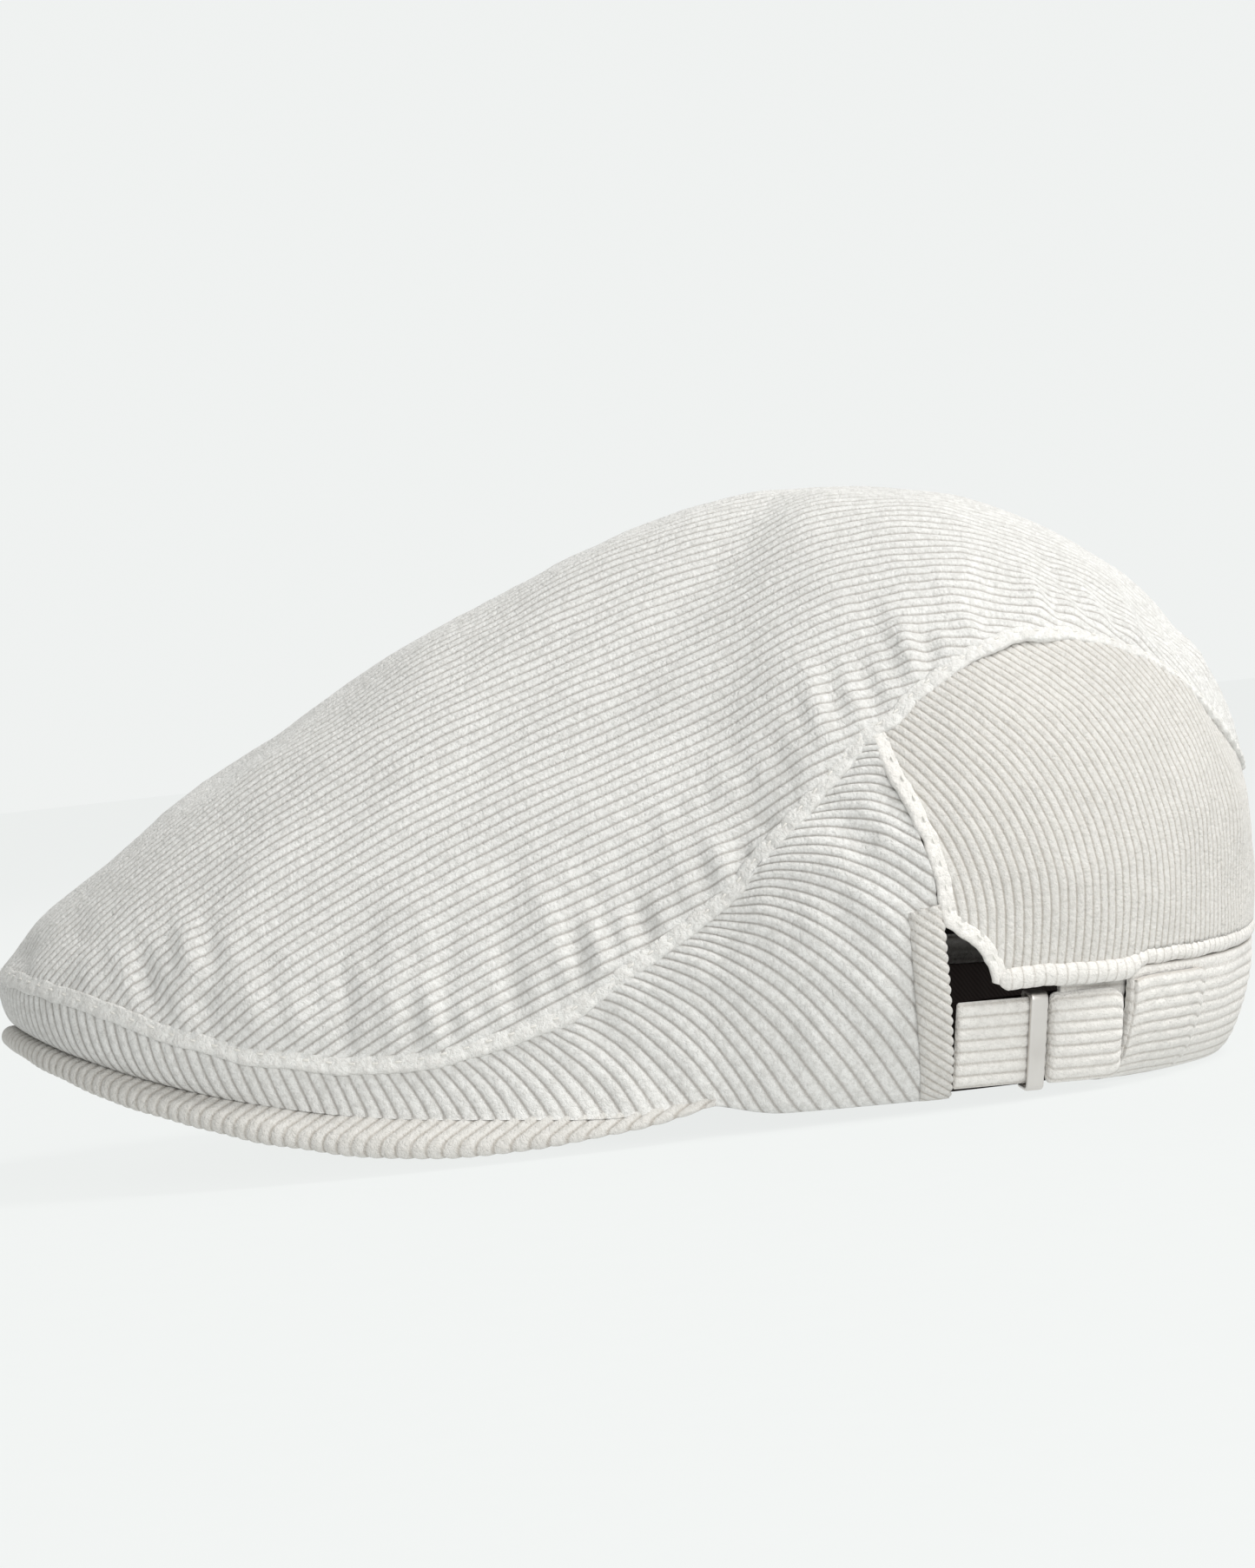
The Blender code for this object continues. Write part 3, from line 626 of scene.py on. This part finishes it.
def webbing(name, start, length, height, thick, shift, corner, material, puff=0.0):
    """ribbed strap: a flat rounded loop of cords carried along, its ends closing as quarter ellipses"""
    along, up, out = strap_axes()
    steps = 70
    s = np.linspace(0, 1, steps)
    s = 0.5 * s + 0.25 * (1 - np.cos(np.pi * s))
    end = np.minimum(s, 1 - s) * length
    girth = np.sqrt(np.clip(1 - (1 - np.clip(end / (thick * 0.5), 0, 1)) ** 2, 0, 1))

    def rounded(distance, radius):
        return height / 2 - radius * (1 - np.sqrt(1 - (1 - np.clip(distance / radius, 0, 1)) ** 2))

    reach = np.minimum(rounded(s * length, corner[0]), rounded((1 - s) * length, corner[1]))
    half = 70
    v = np.linspace(-1, 1, half)
    face = np.concatenate([v, v[::-1]])
    outer = np.concatenate([np.ones(half), -np.ones(half)])
    round_edge = np.sqrt(np.maximum(1 - np.abs(face) ** 8, 0))
    cord = rib(face * height / 2 + RIB * 0.5)
    h = reach[:, None] * face[None, :]
    depth = (thick / 2 * round_edge * outer)[None, :] * girth[:, None]
    depth = depth + (outer > 0) * ((cord - 0.5) * STRAP_CORD * round_edge)[None, :] * girth[:, None]
    depth = depth + (outer > 0) * puff * (1 - face**2)[None, :] * np.sin(np.pi * s)[:, None]
    at = (start + s * length)[:, None, None]
    grid = STRAP_START + at * along + h[..., None] * up + (shift - thick / 2 + depth)[..., None] * out
    grid = grid + out * (puff * 0.2 * ripple(grid, 103, (9, 9, 9)))[..., None]
    return sheet_mesh(name, grid, material, crest=np.ones((steps, 1)) * cord[None, :], loop_columns=True, flip=True)


def anchor(material):
    """a second layer of the strap sewn to the rear band, following the crown; cords run round it"""
    u = np.linspace(0, 1, 110)[:, None] * np.ones(90)
    deg = 121.8 + 16.0 * u
    top = around(deg, HEM_TOP) + 0.09 + 0.02 * (2 * u - 1) ** 6
    t = top + (1.93 - 0.04 * (2 * u - 1) ** 8 - top) * np.linspace(0, 1, 90)[None, :]
    p, n = crown(deg, t), out_normal(deg, t)
    down = row_length(p)
    crest = rib(down)
    soft = rise(u, -0.12, 0.16) * rise(1 - u, -0.05, 0.4)
    height = 0.35 + 1.45 * soft + crest * 0.38 + 0.2 * ripple(p, 113, (14, 14, 10))
    piece = cloth_grid("strap_anchor_cloth", p, n, height, material, crest, turn=1.0)
    sewn(p)
    return piece


def slide(material):
    """flat metal slide: a rounded bar section carried round a rounded rectangle in the strap's cross plane"""
    along, up, out = strap_axes()
    centre = STRAP_START + along * BUCKLE_AT - out * STRAP_THICK / 2
    half_out, half_up, corner = STRAP_THICK / 2 + BUCKLE_GAP + 0.6, BUCKLE_HALF_SLOT + BUCKLE_GAP + 0.6, 1.0
    a = np.linspace(0, 2 * np.pi, 73)[:-1]
    sx, sz = np.sign(np.cos(a)), np.sign(np.sin(a))
    ring_out = sx * (half_out - corner) + corner * np.cos(a)
    ring_up = sz * (half_up - corner) + corner * np.sin(a)
    fine = np.linspace(0, 2 * np.pi, 25)[:-1]
    across = np.sign(np.cos(fine)) * BUCKLE_BAR / 2 * np.abs(np.cos(fine)) ** 0.3
    deep = np.sign(np.sin(fine)) * BUCKLE_WIRE / 2 * np.abs(np.sin(fine)) ** 0.45
    grid = (centre + ring_out[:, None, None] * out + ring_up[:, None, None] * up
            + (np.cos(a)[:, None] * out + np.sin(a)[:, None] * up)[:, None] * deep[None, :, None]
            + across[None, :, None] * along)
    faces = quads(len(a), len(fine), True, True)
    return mesh_piece("buckle_slide_plate", grid.reshape(-1, 3), faces, material, body="slide")


# ---------- inside ----------
def lining(name, deg, t, material):
    """the crown surface moved inward by the lining's depth and slow waves"""
    p, n = crown(deg, t), out_normal(deg, t)
    soft = 0.9 * ripple(p, 131, (34, 34, 34)) + 0.35 * ripple(p, 137, (12, 12, 12))
    piece = sheet_mesh(name, p - n * (LINING_DEPTH - np.clip(soft, -1.2, 0.5))[..., None], material, flip=True)
    flat, area = panel_size(p)
    return piece


def patch(left, right, top, bottom, count_u=160, count_v=60):
    """angle and depth grids between two side curves of t and two end curves of angle, by repeated substitution"""
    u = np.linspace(0, 1, count_u)[:, None] * np.ones(count_v)
    v = np.linspace(0, 1, count_v)[None, :] * np.ones((count_u, 1))
    t = v * 1.0
    for _ in range(12):
        deg = left(t) * (1 - u) + right(t) * u
        t = top(deg) * (1 - v) + bottom(deg) * v
    return deg, t


def head_wall(name, inset, thick, low, high, material, start=0.0, end=360.0, count=361, flutes=0.0):
    """upright wall on the rim ellipse: a rounded section swept round, with a low wave where it is stitched"""
    loop = end - start >= 360
    deg = np.linspace(start, end, count)
    deg = deg[:-1] if loop else deg
    side = np.linspace(0, 2 * np.pi, 41)[:-1]
    deep = inset + thick / 2 + thick / 2 * np.sign(np.cos(side)) * np.abs(np.cos(side)) ** 0.35
    up = (low + high) / 2 + (high - low) / 2 * np.sign(np.sin(side)) * np.abs(np.sin(side)) ** 0.6
    grid_deg = deg[:, None] * np.ones(40)
    deep = deep[None, :] + flutes * np.sin(deg * 1.7)[:, None] * ((up - low) / (high - low))[None, :]
    r = ellipse_radius(grid_deg, RIM_HALF_WIDTH - deep, RIM_HALF_LENGTH - deep)
    sx, sy = heading(grid_deg)
    x, y = r * sx, POLE_Y + r * sy
    w = rise(fold(grid_deg), 52, 74)
    ground_z = np.maximum(RIM_RISE * (1 - y / RIM_LEVEL_Y), 0.8) * w + (brim_top(x, y) - 5.2) * (1 - w)
    grid = np.stack([x, y, ground_z + up[None, :]], -1)
    return sheet_mesh(name, grid, material, loop_rows=loop, loop_columns=True)


# ---------- materials ----------
class Wire:
    """one node socket; + - * build Math nodes"""

    def __init__(self, tree, socket):
        self.tree, self.socket = tree, socket

    def math(self, operation, other, swap=False, clamp=False):
        node = self.tree.nodes.new("ShaderNodeMath")
        node.operation, node.use_clamp = operation, clamp
        for place, value in enumerate((other, self) if swap else (self, other)):
            if isinstance(value, Wire):
                self.tree.links.new(value.socket, node.inputs[place])
            else:
                node.inputs[place].default_value = value
        return Wire(self.tree, node.outputs[0])

    def __add__(self, other): return self.math("ADD", other)
    def __radd__(self, other): return self.math("ADD", other, True)
    def __sub__(self, other): return self.math("SUBTRACT", other)
    def __rsub__(self, other): return self.math("SUBTRACT", other, True)
    def __mul__(self, other): return self.math("MULTIPLY", other)
    def __rmul__(self, other): return self.math("MULTIPLY", other, True)
    def clamp(self): return self.math("ADD", 0.0, clamp=True)


class Finish:
    """a named material; node() adds any node: its type, its settings, then its inputs"""

    def __init__(self, name, **constants):
        self.material = bpy.data.materials.new(name)
        self.material.use_nodes = True
        self.tree = self.material.node_tree
        self.shader = self.tree.nodes["Principled BSDF"]
        for key, value in constants.items():
            self.shader.inputs[key.replace("_", " ")].default_value = value
        self.place = self.node("ShaderNodeTexCoord", out="Object")

    def node(self, kind, settings=(), out=0, **inputs):
        node = self.tree.nodes.new(kind)
        for key, value in dict(settings).items():
            setattr(node, key, value)
        for key, value in inputs.items():
            socket = node.inputs[int(key[1:]) if key[0] == "i" and key[1:].isdigit() else key.replace("_", " ")]
            if isinstance(value, Wire):
                self.tree.links.new(value.socket, socket)
            else:
                socket.default_value = value
        return Wire(self.tree, node.outputs[out])

    def noise(self, scale, detail=2.0, rough=0.5):
        return self.node("ShaderNodeTexNoise", Vector=self.place, Scale=scale, Detail=detail, Roughness=rough)

    def step(self, value, low, high):
        return self.node("ShaderNodeMapRange", {"interpolation_type": "SMOOTHSTEP"}, Value=value, From_Min=low,
                         From_Max=high)

    def blend(self, share, first, second):
        return self.node("ShaderNodeMix", {"data_type": "RGBA"}, out=2, i0=share, i6=first, i7=second)

    def feed(self, **sockets):
        for key, value in sockets.items():
            self.tree.links.new(value.socket, self.shader.inputs[key.replace("_", " ")])

    def bump(self, height, distance, strength=1.0):
        return self.node("ShaderNodeBump", Height=height, Distance=distance, Strength=strength)


def ribbed_cloth(name, crest_colour, groove_shade_colour, fleck_colour, fleck=0.55):
    """heathered cord: paler on the cords, painted shade in the grooves as a darker, browner colour, grey flecks of
    fibre, a fuzzy nap
    """
    f = Finish(name, Roughness=0.92, Sheen_Weight=0.12, Sheen_Roughness=0.5, Specular_IOR_Level=0.1)
    fibre = f.noise(1500.0, 3.0, 0.7)
    loops = f.noise(700.0, 2.0, 0.6)
    broad = f.noise(34.0, 2.0, 0.5)
    flecks = f.step(loops * 0.6 + fibre * 0.4, 0.42, 0.60)
    colour = f.blend((flecks * fleck).clamp(), crest_colour, fleck_colour)
    crest = f.node("ShaderNodeAttribute", {"attribute_name": "crest"}, out="Fac")
    # painted shade: the groove colour darkens the cloth where the crest attribute falls towards the groove
    colour = f.blend(f.step(crest + (fibre - 0.5) * 0.9, 0.0, 0.72), groove_shade_colour, colour)
    shade = f.node("ShaderNodeMapRange", Value=broad, From_Min=0.3, From_Max=0.7, To_Min=0.93, To_Max=1.0)
    grey = f.node("ShaderNodeCombineColor", i0=shade, i1=shade, i2=shade)
    colour = f.node("ShaderNodeMix", {"data_type": "RGBA", "blend_type": "MULTIPLY"}, out=2, i0=1.0, i6=colour,
                    i7=grey)
    rough = f.step(fibre, 0.2, 0.8) * 0.1 + 0.86
    f.feed(Base_Color=colour, Roughness=rough, Normal=f.bump(fibre * 0.5 + loops * 0.5, 0.0011, 0.9))
    return f.material


def thread_finish():
    """twisted thread: fine noise between two pale tones"""
    f = Finish("stitch_thread", Roughness=0.6, Sheen_Weight=0.15)
    twist = f.noise(2600.0, 1.0)
    f.feed(Base_Color=f.blend(twist, (0.60, 0.58, 0.54, 1), (0.78, 0.77, 0.73, 1)), Normal=f.bump(twist, 0.0001, 0.5))
    return f.material


def lining_finish(name, dark, light, shine=0.35):
    """smooth dark twill: fine slanted lines, slow changes of tone"""
    f = Finish(name, Roughness=0.6, Sheen_Weight=0.08, Specular_IOR_Level=shine)
    weave = f.node("ShaderNodeTexWave", {"bands_direction": "DIAGONAL"}, out="Fac", Vector=f.place, Scale=420.0,
                   Distortion=1.2, Detail=1.0)
    broad = f.noise(60.0, 3.0)
    f.feed(Base_Color=f.blend((weave * 0.5 + broad * 0.6).clamp(), dark, light), Roughness=0.5 + broad * 0.25,
           Normal=f.bump(weave, 0.00012, 0.5))
    return f.material


def metal_finish():
    """satin plate: fine scratches, a slightly rougher patch here and there"""
    f = Finish("satin_metal", Metallic=1.0, Roughness=0.36)
    scratch = f.noise(900.0, 4.0, 0.7)
    broad = f.noise(150.0, 2.0)
    f.feed(Base_Color=f.blend(broad, (0.62, 0.59, 0.56, 1), (0.76, 0.74, 0.71, 1)), Roughness=0.28 + scratch * 0.22,
           Normal=f.bump(scratch, 0.00006, 0.5))
    return f.material


def board_finish():
    """pulp board: noise between two buff tones"""
    f = Finish("brim_board_card", Roughness=0.8)
    pulp = f.noise(500.0, 4.0, 0.6)
    f.feed(Base_Color=f.blend(pulp, (0.42, 0.40, 0.36, 1), (0.60, 0.58, 0.54, 1)), Normal=f.bump(pulp, 0.0001, 0.5))
    return f.material


def floor_finish():
    """pale paper that gives off most of its brightness and takes a soft shadow"""
    f = Finish("floor_paper", Roughness=0.95, Specular_IOR_Level=0.0, Emission_Strength=1.0)
    f.shader.inputs["Emission Color"].default_value = (0.805, 0.823, 0.814, 1)
    grain = f.noise(90.0, 3.0)
    f.feed(Base_Color=f.blend(grain, (0.068, 0.07, 0.069, 1), (0.074, 0.076, 0.075, 1)))
    return f.material


# ---------- stage ----------
def stage():
    """the floor, and a room that is brighter to the camera than the light it gives"""
    mesh = bpy.data.meshes.new("floor")
    mesh.from_pydata([(-4, -4, 0), (4, -4, 0), (4, 4, 0), (-4, 4, 0)], [], [(0, 1, 2, 3)])
    floor = bpy.data.objects.new("floor", mesh)
    mesh.materials.append(floor_finish())
    bpy.context.scene.collection.objects.link(floor)
    world = bpy.data.worlds.new("pale_room")
    bpy.context.scene.world = world
    world.use_nodes = True
    background = world.node_tree.nodes["Background"]
    background.inputs["Color"].default_value = (0.868, 0.886, 0.877, 1)
    ray = world.node_tree.nodes.new("ShaderNodeLightPath")
    strength = world.node_tree.nodes.new("ShaderNodeMapRange")
    strength.inputs["To Min"].default_value = ROOM_LIGHT
    world.node_tree.links.new(ray.outputs["Is Camera Ray"], strength.inputs["Value"])
    world.node_tree.links.new(strength.outputs[0], background.inputs["Strength"])
    bpy.context.scene.view_settings.view_transform = "Standard"


def lamp(name, place, aim, size, watts, colour=(1, 1, 1)):
    """square soft light at place, its own z axis turned back along the line from aim"""
    light = bpy.data.lights.new(name, "AREA")
    light.size, light.energy, light.color = size, watts, colour
    holder = bpy.data.objects.new(name, light)
    back = unit(np.array(place) - np.array(aim))
    right = unit(np.cross((0.0, 1.0, 0.01), back))
    turn = np.eye(4)
    turn[:3, 0], turn[:3, 1], turn[:3, 2], turn[:3, 3] = right, np.cross(back, right), back, place
    holder.matrix_world = turn.T.tolist()
    bpy.context.scene.collection.objects.link(holder)


def camera():
    """a long lens level with the cap, turned slightly about its own axis"""
    az, el, tilt = np.radians([81.0, 2.0, 6.0])
    right = np.array([np.cos(az), np.sin(az), 0.0])
    back = np.array([np.sin(az) * np.cos(el), -np.cos(az) * np.cos(el), np.sin(el)])
    up = np.cross(back, right)
    turn = np.eye(4)
    turn[:3, 0] = right * np.cos(tilt) - up * np.sin(tilt)
    turn[:3, 1] = right * np.sin(tilt) + up * np.cos(tilt)
    turn[:3, 2] = back
    turn[:3, 3] = (np.array([0.0, 0.0, 65.0]) + SHIFT + back * 1250.0) * MM
    data = bpy.data.cameras.new("side_view")
    data.sensor_width, data.lens, data.shift_y = 36.0, 126.6, 0.0266
    holder = bpy.data.objects.new("side_view", data)
    holder.matrix_world = turn.T.tolist()
    bpy.context.scene.collection.objects.link(holder)
    bpy.context.scene.camera = holder


# ---------- the cap ----------
def dress():
    """every cloth, strap and metal piece of the cap, each in place of its solid"""
    # painted shade: the second colour of each ribbed cloth is the darker colour painted in its grooves
    cloth = ribbed_cloth("ribbed_cloth", (0.77, 0.766, 0.746, 1), (0.46, 0.44, 0.415, 1), (0.575, 0.565, 0.54, 1))
    # painted shade: a darker, slightly warmer copy of the ribbed cloth for the back panel, window binding and both
    # brim covers; its darkness stands in for shade on them
    warm_painted_shade_cloth = ribbed_cloth("ribbed_cloth_warm_painted_shade", (0.69, 0.675, 0.645, 1), (0.46, 0.43, 0.39, 1), (0.55, 0.53, 0.49, 1),
                        0.45)
    # painted light: a paler, slightly warmer copy of the ribbed cloth for the strap, its anchor, the back band, the
    # hem and the rear seam edges; its extra brightness stands in for light on them
    light = ribbed_cloth("ribbed_cloth_painted_light", (0.84, 0.82, 0.785, 1), (0.58, 0.55, 0.51, 1),
                         (0.68, 0.66, 0.625, 1), 0.45)
    edge = ribbed_cloth("seam_cloth", (0.79, 0.785, 0.76, 1), (0.5, 0.48, 0.45, 1), (0.62, 0.60, 0.57, 1), 0.5)
    thread = thread_finish()
    dark = lining_finish("lining_cloth", (0.010, 0.006, 0.006, 1), (0.022, 0.014, 0.013, 1))
    band = lining_finish("sweatband_cloth", (0.010, 0.007, 0.006, 1), (0.026, 0.018, 0.016, 1), 0.1)
    label = lining_finish("label_cloth", (0.62, 0.61, 0.58, 1), (0.72, 0.71, 0.68, 1), 0.2)
    metal, card = metal_finish(), board_finish()

    stop_left = [(0.6, 87.0), (0.665, 88.0), (0.785, 91.0), (0.915, 93.0), (0.97, 93.0), (0.99, 92.2), (2.0, 92.2)]
    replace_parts(top_panel(cloth), "top_panel")
    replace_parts(side_panel("side_panel_left_cloth", 1, cloth, stop_left), "side_panel_left")
    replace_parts(side_panel("side_panel_right_cloth", -1, cloth, REAR_SEAM), "side_panel_right")
    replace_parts(back_panel(warm_painted_shade_cloth), "back_panel")
    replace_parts(back_band(light), "back_band")
    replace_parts(binding(warm_painted_shade_cloth), "window_binding")
    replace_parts(brim_cover("brim_top_cloth", warm_painted_shade_cloth, 0.0, False), "brim_top_cover")
    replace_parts(brim_cover("brim_under_cloth", warm_painted_shade_cloth, 4.1, True), "brim_under_cover")
    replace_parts(anchor(light), "strap_anchor")
    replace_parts(webbing("strap_webbing", 0.0, 21.8, 19.2, 2.3, 0.0, (0.6, 0.6), light), "strap")
    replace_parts(webbing("strap_fold_webbing", 22.1, 17.9, 20.4, 4.0, 0.8, (1.6, 3.4), light, puff=0.5), "strap_fold")
    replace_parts(slide(metal), "buckle")
    trim(edge, thread, light)
    inside(dark, band, label)
    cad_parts["brim_board"].material_slots[0].material = card


# light is the paler copy of the ribbed cloth, whose extra brightness is painted light
def trim(edge, thread, light):
    """seam edges, stitch rows and the rear hem"""
    for word, side in (("left", 1.0), ("right", -1.0)):
        fold_edge = [(-side * across, out) for across, out in turned_edge()]
        rear_edge = [(-side * across, out) for across, out in turned_edge(2.4, 0.9)]
        deg = np.linspace(0.2, 179.9, 900)
        path = smooth_path(deg, around(deg, TOP_SEAM), side)
        strip(f"top_seam_edge_{word}", path, fold_edge, edge, wave=0.35, seed=151)
        stitches(f"top_seam_stitches_{word}", path, thread, 1.5 * side)
        t = np.linspace(0.66, 1.262 if side > 0 else 1.99, 240)
        path = smooth_path(curve(t, WINDOW_EDGE if side > 0 else REAR_SEAM) + 0.25, t, side)
        strip(f"rear_seam_edge_{word}", path, rear_edge, light, wave=0.28, seed=157)
        stitches(f"rear_seam_stitches_{word}", path, thread, 1.4 * side)
    deg = np.linspace(100.2, 266.2, 1500)
    t = around(deg, HEM_TOP) + HEM_DEPTH / 2 + HEM_DROP * (1 - rise(deg, 119, 125))
    facing_deg = np.linspace(110.5, 122.0, 90)[:, None] * np.ones(30)
    facing_t = around(facing_deg, HEM_TOP) + 0.05 + 0.2 * np.linspace(0, 1, 30)[None, :]
    p, n = crown(facing_deg, facing_t), out_normal(facing_deg, facing_t)
    crest = rib(np.linalg.norm(p - p[:, :1], axis=2))
    facing = cloth_grid("hem_facing_cloth", p, n, crest * 0.2 - 2.9, light, crest)
    sewn(p)
    radius = 2.4 - 0.55 * rise(deg, 120, 123.5)
    lift = 0.2 - 0.7 * rise(deg, 120, 123.5)
    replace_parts(roll("back_hem_roll", deg, t, radius, light, lift=lift[:, None], squash=0.62), "back_hem")


def inside(dark, band, label):
    """the lining's top and sides, the sweatband and the blank label"""
    u = np.linspace(0, 360, 241)[:-1, None] * np.ones(60)
    t = np.linspace(0.02, 1, 60)[None, :] * around(u, TOP_SEAM)
    p, n = crown(u, t), out_normal(u, t)
    p = p - n * (LINING_DEPTH - np.clip(0.9 * ripple(p, 131, (34, 34, 34)), -1.2, 0.5))[..., None]
    piece = sheet_mesh("lining_top_cloth", p, dark, loop_rows=True, flip=True)
    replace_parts(piece, "lining_top")

    def seam(a):
        return around(a, TOP_SEAM)

    def low(a):
        return 0 * a + 1.96

    left = patch(lambda t: 0 * t + 0.2, lambda t: curve(t, REAR_SEAM), seam, low)
    right = patch(lambda t: 360 - curve(t, REAR_SEAM), lambda t: 0 * t + 359.8, seam, low)
    back = patch(lambda t: curve(t, WINDOW_EDGE) + 0.6, lambda t: 360 - curve(t, REAR_SEAM), seam,
                 lambda a: around(a, HEM_TOP) + 0.05)
    for name, grid in (("left", left), ("right", right), ("back", back)):
        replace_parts(lining(f"lining_{name}_cloth", *grid, dark), f"lining_{name}")
    wall = head_wall("sweatband_cloth", 4.6, 1.1, 0.8, 20.0, band, flutes=0.25)
    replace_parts(wall, "sweatband")
    tag = head_wall("size_label_cloth", 5.9, 0.5, 4.0, 16.0, label, 172.0, 188.0, 60)
    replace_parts(tag, "size_label")


dress()
stage()
lamp("overhead", (0.35, 0.8, 1.25), (0, 0, 0.05), 0.65, 16.0, (1.0, 0.99, 0.98))
lamp("left_fill", (1.35, 0.25, 0.45), (0, 0, 0.06), 0.9, 9.0, (1.0, 0.99, 0.975))
lamp("right_fill", (-1.2, -0.6, 0.8), (0, 0, 0.06), 0.9, 5.0, (1.0, 0.99, 0.98))
camera()
